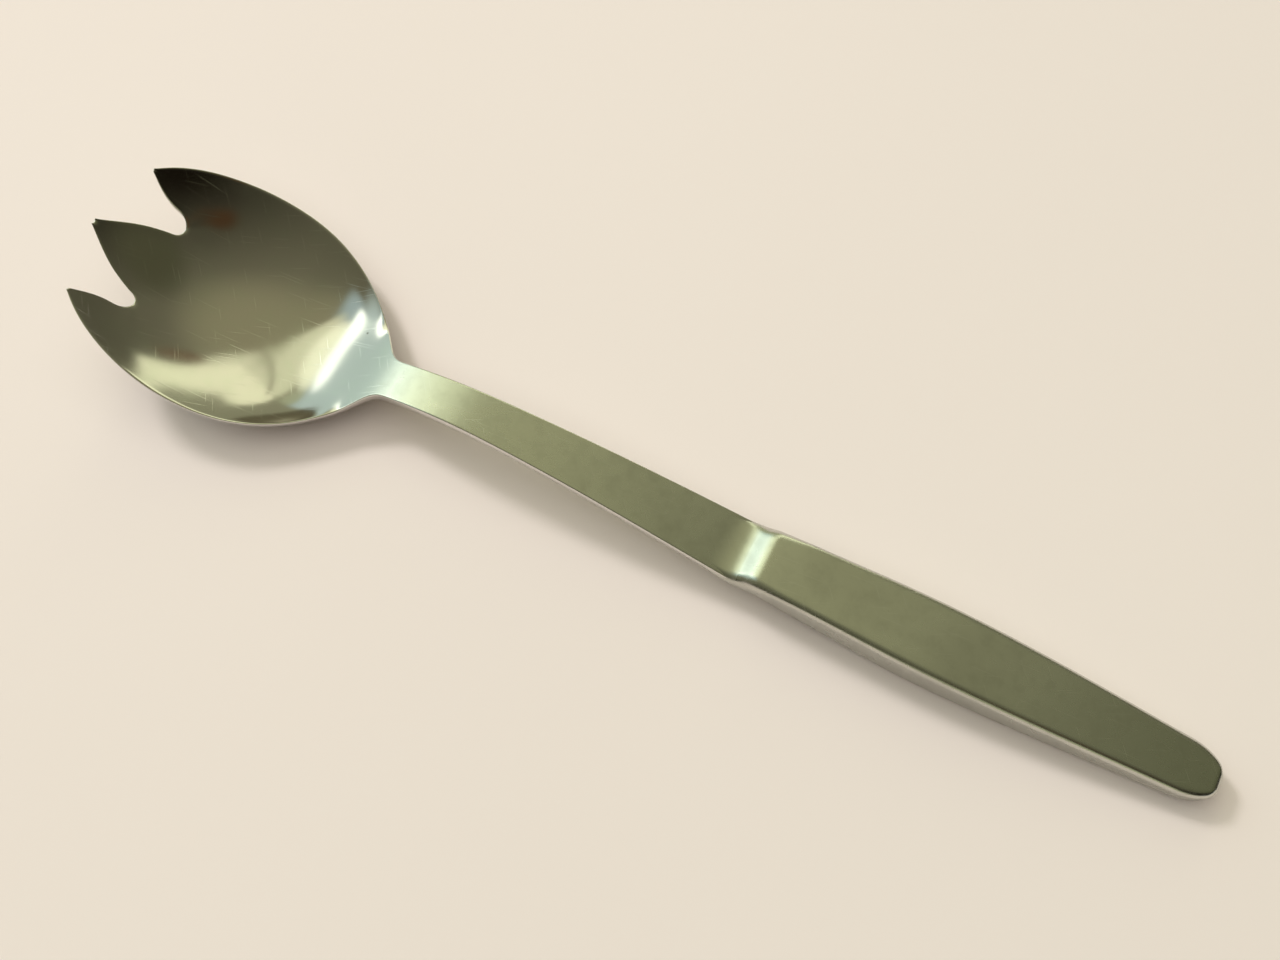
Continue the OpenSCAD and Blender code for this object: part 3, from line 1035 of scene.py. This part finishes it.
@dataclass
class Head:
    """The pressed head: bowl, three tines, neck, stem and hidden tang.

    Lengths are in millimetres, and places along the spork are measured from the middle tine's tip.
    """

    handle: Handle
    bowl_len: float = 54.0
    bowl_half_w: float = 20.2
    widest_x: float = 24.5
    nose_over: float = 2.0
    heel_over: float = 2.5
    heel_power: float = 2.25
    deep_x: float = 18.0
    bowl_depth: float = 8.7
    floor_x: float = 31.0
    heel_x: float = 45.5
    heel_h: float = 4.0
    heel_slope: float = 0.385
    tip_h: float = 16.4
    tip_angle: float = 50.0
    section_power: float = 2.1
    heel_section_power: float = 4.0
    nose_power: float = 3.0
    nose_drop_share: float = 0.9
    sink_power: float = 1.73
    flat_x: float = 49.3
    floor_t: float = 1.5
    rim_t: float = 1.0
    neck_half: float = 3.55
    stem_half_w: float = 5.35
    stem_spread: float = 0.03
    stem_t: float = 1.9
    stem_round: float = 0.8
    neck_ease: float = 2.0
    neck_h: float = 7.6
    neck_angle: float = 22.0
    crest_x: float = 75.0
    crest_h: float = 11.7
    mouth_h: float = 5.8
    mouth_angle: float = 11.0
    tang_half: float = 4.16
    tang_t: float = 1.6
    shoulder: float = 0.2
    tine_root_x: float = 8.25
    tine_tip_half: float = 0.5
    tine_power: float = 1.5
    notch_y: float = 8.0
    notch_r: float = 1.75
    side_tip_x: float = 3.8
    side_tip_y: float = 12.3
    edge_lip: float = 0.38
    lip_share: float = 0.3
    flank_column: int = 5
    rim_column: int = 10
    apex_row: int = 10
    even_out: int = 120
    levels: int = 2
    beside_wear_and_highlight: float = 0.25
    slope_probe: float = 0.02
    rim_probe: float = 0.05
    flank_shares: tuple[float, ...] = (0.0, 0.018, 0.071, 0.178, 0.355, 0.615, 1.0)
    side_shares: tuple[float, ...] = (1.0, 0.92, 0.80, 0.65, 0.45, 0.22, 0.0)
    root_turns: tuple[float, ...] = (20.0, 41.0, 63.0, 90.0)
    support_turn: float = 79.0
    rim_rows: tuple[float, ...] = (
        3.8, 4.1, 4.6, 5.2, 6.0, 6.9, 7.9, 9.0, 10.3, 11.7, 13.2, 14.8, 16.6, 18.5, 20.5, 22.5, 24.5)
    middle_rows: tuple[float, ...] = (0.0, 0.35, 0.9, 1.8, 3.1, 4.7, 6.5, 8.3, 10.0, 11.6, 13.2)
    back_rows: tuple[float, ...] = (
        27.0, 29.5, 32.0, 34.5, 37.0, 39.5, 42.0, 44.2, 46.2, 47.9, 49.3, 50.5, 51.5, 52.4, 53.2, 54.0, 55.0,
        56.3, 58.0, 60.2, 63.0, 66.0, 69.0, 72.0, 76.0, 81.0, 87.0, 93.0, 99.0, 105.0, 111.0, 115.0, 118.0,
        120.0, 121.0, 121.4, 122.5, 126.0, 133.0, 143.0, 152.0, 153.0)
    finish: SteelFinish = SteelFinish("half_polished_head_steel", polish_end=-0.046, polish_fade=0.005)

    def centre_z(self, x: float) -> float:
        """Finds the height of the top face along the middle of the head.

        Args:
            x: Place along the spork.

        Returns:
            The height.
        """
        neck, fall, mouth_x = slope_of(self.neck_angle), slope_of(self.mouth_angle), self.handle.mouth_x
        if x < self.floor_x:
            return ease(x, 0.0, self.tip_h, -slope_of(self.tip_angle), self.floor_x, self.floor_t, 0.0)
        if x < self.heel_x:
            return ease(x, self.floor_x, self.floor_t, 0.0, self.heel_x, self.heel_h, self.heel_slope)
        if x < self.bowl_len:
            return ease(x, self.heel_x, self.heel_h, self.heel_slope, self.bowl_len, self.neck_h, neck)
        if x < self.crest_x:
            return ease(x, self.bowl_len, self.neck_h, neck, self.crest_x, self.crest_h, 0.0)
        if x <= mouth_x:
            return ease(x, self.crest_x, self.crest_h, 0.0, mouth_x, self.mouth_h, -fall)
        return self.handle.spine_z(x) + self.tang_t / 2

    def rim_rise(self, x: float) -> float:
        """Finds the height of the rim above the middle of the bowl.

        Args:
            x: Place along the spork.

        Returns:
            The height.
        """
        if x < self.deep_x:
            drop = self.nose_drop_share * ((self.deep_x - x) / self.deep_x) ** self.nose_power
        elif x < self.flat_x:
            drop = ((x - self.deep_x) / (self.flat_x - self.deep_x)) ** self.sink_power
        else:
            drop = 1.0
        return self.bowl_depth * (1 - drop)

    def half(self, x: float) -> float:
        """Finds half of the head's width.

        Args:
            x: Place along the spork.

        Returns:
            Half of the width.
        """
        if x > self.handle.mouth_x + self.shoulder:
            return self.tang_half
        if x < self.widest_x:
            run = (self.widest_x - x) / (self.widest_x + self.nose_over)
            bowl = self.bowl_half_w * math.sqrt(max(1 - run * run, 0.0))
        else:
            run = (x - self.widest_x) / (self.bowl_len - self.widest_x + self.heel_over)
            bowl = self.bowl_half_w * (1 - run ** self.heel_power)
        if x < self.bowl_len:
            stem = self.neck_half
        else:
            stem = ease(x, self.bowl_len, self.neck_half, 0.0, self.handle.mouth_x, self.stem_half_w,
                        self.stem_spread)
        return eased_max(bowl, stem, self.neck_ease)

    def section_bend(self, x: float) -> float:
        """Power of the section's curve: the sections are flatter in the middle towards the heel."""
        return mix(self.section_power, self.heel_section_power, soft_share(x, self.floor_x, self.heel_x))

    def top_z(self, x: float, y: float) -> float:
        """Height of the top face."""
        return self.centre_z(x) + self.rim_rise(x) * (abs(y) / self.half(x)) ** self.section_bend(x)

    def thickness(self, x: float, y: float) -> float:
        """Finds the thickness of the metal, square to its face.

        Args:
            x: Place along the spork.
            y: Place across it.

        Returns:
            The thickness.
        """
        if x > self.handle.mouth_x + self.shoulder:
            return self.tang_t
        if x < self.floor_x:
            middle = mix(self.rim_t, self.floor_t, x / self.floor_x)
        else:
            middle = mix(self.floor_t, self.stem_t, share_between(x, self.floor_x, self.bowl_len) ** 2)
        edge = mix(self.rim_t, self.stem_t, share_between(x, self.flat_x, self.bowl_len))
        return mix(middle, edge, min(abs(y) / self.half(x), 1.0) ** 2)

    def under_z(self, x: float, y: float) -> float:
        """Finds the height of the underside.

        Args:
            x: Place along the spork.
            y: Place across it.

        Returns:
            The height.
        """
        step, mouth_x = self.slope_probe, self.handle.mouth_x
        near = min(x, mouth_x - step) if x < mouth_x + self.shoulder else x
        back = max(near - step, 0.0)
        slope_x = (self.top_z(near + step, y) - self.top_z(back, y)) / (near + step - back)
        slope_y = (self.top_z(x, y + step) - self.top_z(x, y - step)) / (2 * step)
        return self.top_z(x, y) - self.thickness(x, y) * math.sqrt(1 + slope_x ** 2 + slope_y ** 2)

    def root_edge(self, row: int, side: int) -> Edge:
        """Finds the edge of the notch's round root.

        Args:
            row: Row of the sheet.
            side: -1 for the half of the root on the middle tine, 1 for the half on the outer tine.

        Returns:
            A point of the edge, and the direction from it into the metal.
        """
        a = math.radians(self.root_turns[row - len(self.flank_shares)])
        inwards = (math.sin(a), side * math.cos(a))
        return stepped((self.tine_root_x, self.notch_y), inwards, self.notch_r), inwards

    def middle_edge(self, row: int) -> Edge:
        """Finds the edge of the middle tine, on the side of the right-hand notch.

        Args:
            row: Row of the sheet.

        Returns:
            A point of the edge, and the direction from it into the metal.
        """
        if row >= len(self.flank_shares):
            return self.root_edge(row, -1)
        s = self.flank_shares[row]
        spread = self.notch_y - self.notch_r - self.tine_tip_half
        point = (self.tine_root_x * s, self.tine_tip_half + spread * (1 - (1 - s) ** self.tine_power))
        rise = spread * self.tine_power * (1 - s) ** (self.tine_power - 1)
        run = math.hypot(rise, self.tine_root_x)
        return point, (rise / run, -self.tine_root_x / run)

    def side_edge(self, row: int) -> Edge:
        """Finds the edge of the right-hand tine, on the side of its notch.

        Args:
            row: Row of the sheet.

        Returns:
            A point of the edge, and the direction from it into the metal.
        """
        if row >= len(self.side_shares):
            return self.root_edge(row, 1)
        s = self.side_shares[row]
        reach, spread = self.tine_root_x - self.side_tip_x, self.side_tip_y - self.notch_y - self.notch_r
        point = (self.tine_root_x - reach * s, self.notch_y + self.notch_r + spread * s * s)
        run = math.hypot(2 * spread * s, reach)
        return point, (2 * spread * s / run, reach / run)

    def rim_edge(self, row: int) -> Edge:
        """Finds the rim of the bowl beside the tines.

        Args:
            row: Row of the sheet.

        Returns:
            A point of the rim, and the direction from it into the metal.
        """
        x, probe = self.rim_rows[row], self.rim_probe
        slope = (self.half(x + probe) - self.half(x - probe)) / (2 * probe)
        run = math.hypot(slope, 1.0)
        return (x, self.half(x)), (slope / run, -1 / run)

    def behind_root(self, across: int) -> Plan:
        """Finds a point just behind the notch's root.

        Args:
            across: 0 for a point on the notch's middle line, -1 or 1 for one beside it.

        Returns:
            The place in plan.
        """
        a = math.radians(90.0 + (90.0 - self.support_turn) * across)
        inwards = (math.sin(a), -math.cos(a))
        return stepped((self.tine_root_x, self.notch_y), inwards, self.notch_r + self.edge_lip)

    def tine_plan(self, row: int, column: int, bank: int) -> Plan:
        """First place of a point of the tines, on the right-hand side.

        Args:
            row: Row of the sheet.
            column: Column, counted from the middle.
            bank: -1 for the inner edge of the notch's cut, 1 for its outer edge, 0 elsewhere.

        Returns:
            The place in plan.
        """
        notch, last = self.flank_column, self.rim_column
        rim, rim_in = self.rim_edge(row)
        flank, flank_in = self.middle_edge(row)
        outer, outer_in = self.side_edge(row)
        if row == 0:
            if column < notch or (column == notch and bank <= 0):
                return 0.0, flank[1] * column / notch
            return mix_plan(outer, rim, (column - notch) / (last - notch))
        if column == notch:
            return outer if bank > 0 else flank
        if column == last:
            return rim
        at_root = row == self.apex_row
        if column < notch:
            lip = min(self.edge_lip, self.lip_share * flank[1])
            support = self.behind_root(-1) if at_root else stepped(flank, flank_in, lip)
            return mix_plan((self.middle_rows[row], 0.0), support, column / (notch - 1))
        lip = min(self.edge_lip, self.lip_share * (rim[1] - outer[1]))
        support = self.behind_root(1) if at_root else stepped(outer, outer_in, lip)
        return mix_plan(support, stepped(rim, rim_in, lip), (column - notch - 1) / (last - notch - 2))

    def front_plan(self, row: int, column: int) -> Plan:
        """First place of a point between the notches and the bowl's widest place, on the right-hand side.

        Args:
            row: Row of the sheet.
            column: Column, counted from the middle.

        Returns:
            The place in plan.
        """
        apex, widest = self.apex_row, len(self.rim_rows) - 1
        rim, rim_in = self.rim_edge(row)
        if column == self.rim_column:
            return rim
        if column == self.rim_column - 1:
            return stepped(rim, rim_in, self.edge_lip)
        if row == apex + 1 and column == self.flank_column:
            return self.behind_root(0)
        near, far = self.tine_plan(apex, column, 0), self.full_plan(widest, column)
        return mix_plan(near, far, (row - apex) / (widest - apex))

    def full_plan(self, row: int, column: int) -> Plan:
        """Place of a point from the bowl's widest place to the tang, on the right-hand side.

        Args:
            row: Row of the sheet.
            column: Column, counted from the middle.

        Returns:
            The place in plan.
        """
        x = (self.rim_rows + self.back_rows)[row]
        if column == self.rim_column:
            return x, self.half(x)
        return x, (self.half(x) - self.edge_lip) * column / (self.rim_column - 1)

    def spot(self, row: int, column: int, bank: int) -> Vector:
        """First place of a point of the flat sheet, on either side.

        Args:
            row: Row of the sheet.
            column: Column of the sheet.
            bank: Bank of the cut that the point lies on.

        Returns:
            The place in the frame, with no height yet.
        """
        across = abs(column - self.rim_column)
        side = -1 if column < self.rim_column else 1
        if row <= self.apex_row:
            x, y = self.tine_plan(row, across, bank * side)
        elif row < len(self.rim_rows) - 1:
            x, y = self.front_plan(row, across)
        else:
            x, y = self.full_plan(row, across)
        return to_frame(x, side * y, 0.0)

    def is_free(self, row: int, column: int) -> bool:
        """Says whether a point may move while the sheet is evened out.

        Args:
            row: Row of the sheet.
            column: Column of the sheet.

        Returns:
            True where the point may move.
        """
        across = abs(column - self.rim_column)
        if not 0 < row < len(self.rim_rows) - 1 or across >= self.rim_column - 1:
            return False
        if row <= self.apex_row:
            return abs(across - self.flank_column) > 1
        return not (row == self.apex_row + 1 and across == self.flank_column)

    def edge_wear_and_highlight(self, row: int, column: int) -> float:
        """Gives the wear of a point, which also sets a painted highlight: most along the rim and the edges of
        the tines.

        Args:
            row: Row of the sheet.
            column: Column of the sheet.

        Returns:
            The wear, from 0 to 1.
        """
        across, has_notch = abs(column - self.rim_column), row <= self.apex_row
        if across == self.rim_column or row == 0 or (has_notch and across == self.flank_column):
            return 1.0
        beside = across == self.rim_column - 1 or (has_notch and abs(across - self.flank_column) == 1)
        return self.beside_wear_and_highlight if beside else 0.0

    def build(self) -> bpy.types.Object:
        """Presses and dresses the head.

        Returns:
            The head.
        """
        def in_mm(place: Vector) -> Plan:
            """Turns a place back into millimetres from the middle tine's tip."""
            return place.x / MM + OVERALL_LEN / 2, place.y / MM

        def underside(row: int, column: int, above: Vector) -> Vector:
            """Place of the underside below a point of the top face."""
            return Vector((above.x, above.y, self.under_z(*in_mm(above)) * MM))

        rows = len(self.rim_rows) + len(self.back_rows) - 1
        sheet = PressedSheet("spork_head_steel", rows, 2 * self.rim_column)
        sheet.slit((self.rim_column - self.flank_column, self.rim_column + self.flank_column), self.apex_row)
        sheet.place(self.spot)
        sheet.relax(self.is_free, self.even_out)
        sheet.wear(self.edge_wear_and_highlight)
        sheet.lift(lambda place: self.top_z(*in_mm(place)) * MM)
        sheet.thicken(underside)
        piece = sheet.finish(self.levels)
        wear_finish(piece, self.finish.material())
        return piece


# The studio


@dataclass(frozen=True)
class SoftBox:
    """One soft lamp that faces the spork, lights the floor and isn't mirrored by the steel."""

    name: str
    azimuth: float
    elevation: float
    size: float
    radiance: float
    distance: float
    colour: tuple[float, float, float] = (1.0, 0.99, 0.97)

    def hang(self, target: Vector) -> None:
        """Hangs the lamp and turns it to the target.

        Args:
            target: Point that the lamp faces.
        """
        a, e = math.radians(self.azimuth), math.radians(self.elevation)
        way = Vector((math.cos(e) * math.cos(a), math.cos(e) * math.sin(a), math.sin(e)))
        lamp = bpy.data.lights.new(self.name, "AREA")
        lamp.shape = "SQUARE"
        lamp.size = self.size
        lamp.energy = self.radiance * math.pi * self.size ** 2
        lamp.color = self.colour
        hung = bpy.data.objects.new(self.name, lamp)
        hung.location = target + way * self.distance
        hung.rotation_euler = way.to_track_quat("Z", "Y").to_euler()
        hung.visible_glossy = False
        bpy.context.scene.collection.objects.link(hung)


@dataclass(frozen=True)
class Glow:
    """A soft place on the walls of the room that is brighter or darker than they are, with angles in degrees.

    It shows again straight opposite, which is below the floor unless the place itself is near the horizon.
    """

    azimuth: float
    elevation: float
    wide: float
    high: float
    colour: Colour
    tilt: float = 0.0
    plateau: float = 0.0
    square: bool = False

    def share(self, graph: Graph, x: Signal, y: Signal, z: Signal) -> Signal:
        """Gives how strong the glow is in a direction.

        Args:
            graph: Node tree of the room.
            x: Part of the direction along x.
            y: Part along y.
            z: Part along z.

        Returns:
            1 in the middle of the glow, or straight opposite, and 0 outside it.
        """
        a, e = math.radians(self.azimuth), math.radians(self.elevation)
        across = Vector((-math.sin(a), math.cos(a), 0.0))
        upward = Vector((-math.sin(e) * math.cos(a), -math.sin(e) * math.sin(a), math.cos(e)))
        turn = Matrix.Rotation(math.radians(self.tilt), 2)
        axes = ((turn[0][0] * across + turn[1][0] * upward) / math.sin(math.radians(self.wide)),
                (turn[0][1] * across + turn[1][1] * upward) / math.sin(math.radians(self.high)))
        along, over = (x * axis.x + y * axis.y + z * axis.z for axis in axes)
        if self.square:
            return (along * along).above(1.0, self.plateau) * (over * over).above(1.0, self.plateau)
        return (along * along + over * over).above(1.0, self.plateau)


@dataclass
class Studio:
    """Pale floor, soft lamps, the light of the room and the camera."""

    floor_size: float = 12.0
    floor_cells: int = 8
    floor_drop: float = 2e-5
    lamps: tuple[SoftBox, ...] = (
        SoftBox("key", 160.0, 42.0, 0.22, 40.0, 1.3),
        SoftBox("ceiling", 90.0, 89.0, 2.4, 0.75, 1.6),
    )
    lamp_target: tuple[float, float, float] = (-0.03, 0.0, 0.0)
    glows: tuple[Glow, ...] = (
        Glow(138.0, 61.0, 46.0, 46.0, (0.46, 0.458, 0.26, 1.0)),
        Glow(15.0, 48.0, 34.0, 22.0, (0.13, 0.135, 0.071, 1.0)),
        Glow(-172.0, 42.0, 21.0, 14.0, (0.66, 0.875, 0.82, 1.0)),
        Glow(168.0, 17.0, 45.0, 25.0, (0.89, 1.157, 1.032, 1.0), plateau=0.25),
        Glow(134.0, 45.0, 36.0, 9.5, (1.32, 1.407, 0.9, 1.0), tilt=20.0, plateau=0.4),
        Glow(139.0, 30.5, 15.0, 6.0, (0.7, 0.782, 0.476, 1.0), tilt=25.0, plateau=0.3),
        Glow(95.0, 29.5, 15.0, 4.5, (0.27, 0.188, 0.101, 1.0), tilt=50.0),
        Glow(122.0, 30.0, 11.0, 9.0, (0.62, 0.667, 0.406, 1.0), plateau=0.3),
        Glow(116.6, 3.5, 30.0, 20.0, (0.46, 0.479, 0.291, 1.0), tilt=39.0, plateau=0.7, square=True),
        Glow(105.5, 24.5, 23.0, 6.2, (1.68, 1.771, 1.147, 1.0), tilt=48.0, plateau=0.7, square=True),
        Glow(128.5, 46.0, 14.0, 1.5, (0.62, 0.646, 0.397, 1.0), tilt=58.0, plateau=0.4),
        Glow(161.0, 39.5, 12.0, 8.0, (1.95, 2.105, 1.429, 1.0), tilt=18.0),
        Glow(172.0, 33.0, 17.5, 6.2, (3.1, 3.491, 3.043, 1.0), tilt=12.0, plateau=0.1),
        Glow(-60.0, 43.0, 10.0, 8.0, (0.11, 0.063, 0.026, 1.0)),
    )
    room_light: Colour = (1.0, 1.01, 0.617, 1.0)
    room_dark: Colour = (0.012, 0.0094, 0.0053, 1.0)
    room_level: float = 0.07
    room_slope: tuple[float, float, float] = (-0.15, 0.10, 0.20)
    camera_place: tuple[float, float, float] = (0.03143, -0.05938, 0.20408)
    camera_right: tuple[float, float, float] = (0.89293, 0.45020, 0.0)
    camera_up: tuple[float, float, float] = (-0.42433, 0.84162, 0.33410)
    lens: float = 36.39
    sensor: float = 36.0
    clip_start: float = 0.01
    finish: FloorFinish = FloorFinish()

    def lay_floor(self) -> None:
        """Lays the pale floor."""
        deselect_all()
        bpy.ops.mesh.primitive_grid_add(
            x_subdivisions=self.floor_cells, y_subdivisions=self.floor_cells, size=self.floor_size)
        floor = bpy.context.object
        floor.name = floor.data.name = "pale_floor"
        bpy.ops.object.mode_set(mode="EDIT")
        bpy.ops.transform.translate(value=(0.0, 0.0, -self.floor_drop))
        bpy.ops.object.mode_set(mode="OBJECT")
        wear_finish(floor, self.finish.material())

    def light_room(self) -> None:
        """Lights the room: a slow fall of light with brighter and darker places in it, and the lamps."""
        world = bpy.data.worlds.new("room")
        world.use_nodes = True
        graph = Graph(world.node_tree)
        way = graph.node("ShaderNodeTexCoord", {}, {}, "Generated")
        x, y, z = graph.parts(way)
        level = x * self.room_slope[0] + y * self.room_slope[1] + z * self.room_slope[2] + self.room_level
        colour = graph.blend(self.room_dark, self.room_light, level)
        for glow in self.glows:
            colour = graph.blend(colour, glow.colour, glow.share(graph, x, y, z))
        background = graph.node("ShaderNodeBackground", {}, {"Color": colour, "Strength": 1.0})
        graph.node("ShaderNodeOutputWorld", {}, {"Surface": background})
        bpy.context.scene.world = world
        for lamp in self.lamps:
            lamp.hang(Vector(self.lamp_target))

    def set_camera(self) -> None:
        """Sets the camera where the picture was taken."""
        data = bpy.data.cameras.new("picture_view")
        data.sensor_fit = "HORIZONTAL"
        data.sensor_width, data.lens = self.sensor, self.lens
        data.clip_start = self.clip_start
        camera = bpy.data.objects.new("picture_view", data)
        right, up = Vector(self.camera_right).normalized(), Vector(self.camera_up).normalized()
        turned = Matrix((right, up, right.cross(up))).transposed().to_4x4()
        camera.matrix_world = Matrix.Translation(self.camera_place) @ turned
        bpy.context.scene.collection.objects.link(camera)
        bpy.context.scene.camera = camera

    def build(self) -> None:
        """Builds the whole studio."""
        self.lay_floor()
        self.light_room()
        self.set_camera()
        bpy.context.scene.view_settings.view_transform = "Standard"


def main() -> None:
    """Builds every piece in order and reports it."""
    logging.basicConfig(level=logging.INFO, format="%(name)s: %(message)s")
    handle = Handle()
    head = Head(handle)
    made = {"spork_head": head.build(), **handle.build(head)}
    for node, piece in made.items():
        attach(piece, BODY)
        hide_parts(node)
        LOG.info("%s stands for %s with %d faces", piece.name, node, len(piece.data.polygons))
    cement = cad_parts["tang_cement"]
    wear_finish(cement, CementFinish().material())
    LOG.info("%s keeps its solid", cement.name)
    Studio().build()


if __name__ == "__main__":
    main()
